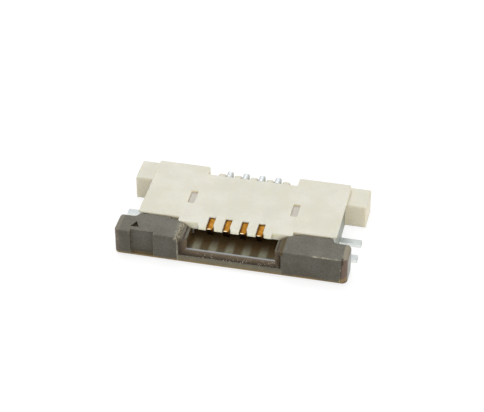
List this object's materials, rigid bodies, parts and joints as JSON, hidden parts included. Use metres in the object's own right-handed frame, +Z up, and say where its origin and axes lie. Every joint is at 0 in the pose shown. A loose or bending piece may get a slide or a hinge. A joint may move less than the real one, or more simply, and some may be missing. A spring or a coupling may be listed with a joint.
{
  "type": "fpc connector",
  "caption": "Right-angle surface-mount connector for flat flexible cable, with a cream housing, a dark slide lock, plated contacts and tin-plated fitting nails.",
  "frame": {"origin": "on the circuit board, under the middle of the housing", "axes": "+X along the row of contacts, away from contact 1; -Y towards the flat cable; +Z up from the board"},
  "size_m": [0.0144, 0.008, 0.0019],
  "materials": {
    "housing": "satin moulded nylon",
    "slider": "satin moulded polyamide",
    "contacts": "gold-plated tips, tin-plated tails",
    "nails": "tin-plated"
  },
  "bodies": {
    "housing_assembly": {"housing": "housing", "nail_left": "nails", "nail_right": "nails", "contact_1": "contacts", "contact_2": "contacts", "contact_3": "contacts", "contact_4": "contacts"},
    "slider_lock": {"slider": "slider"}
  },
  "joints": [
    {"name": "slider_slide", "type": "slide", "parent": "housing_assembly", "child": "slider_lock", "axis": [0, -1, 0], "range_m": [0, 0.001]}
  ]
}
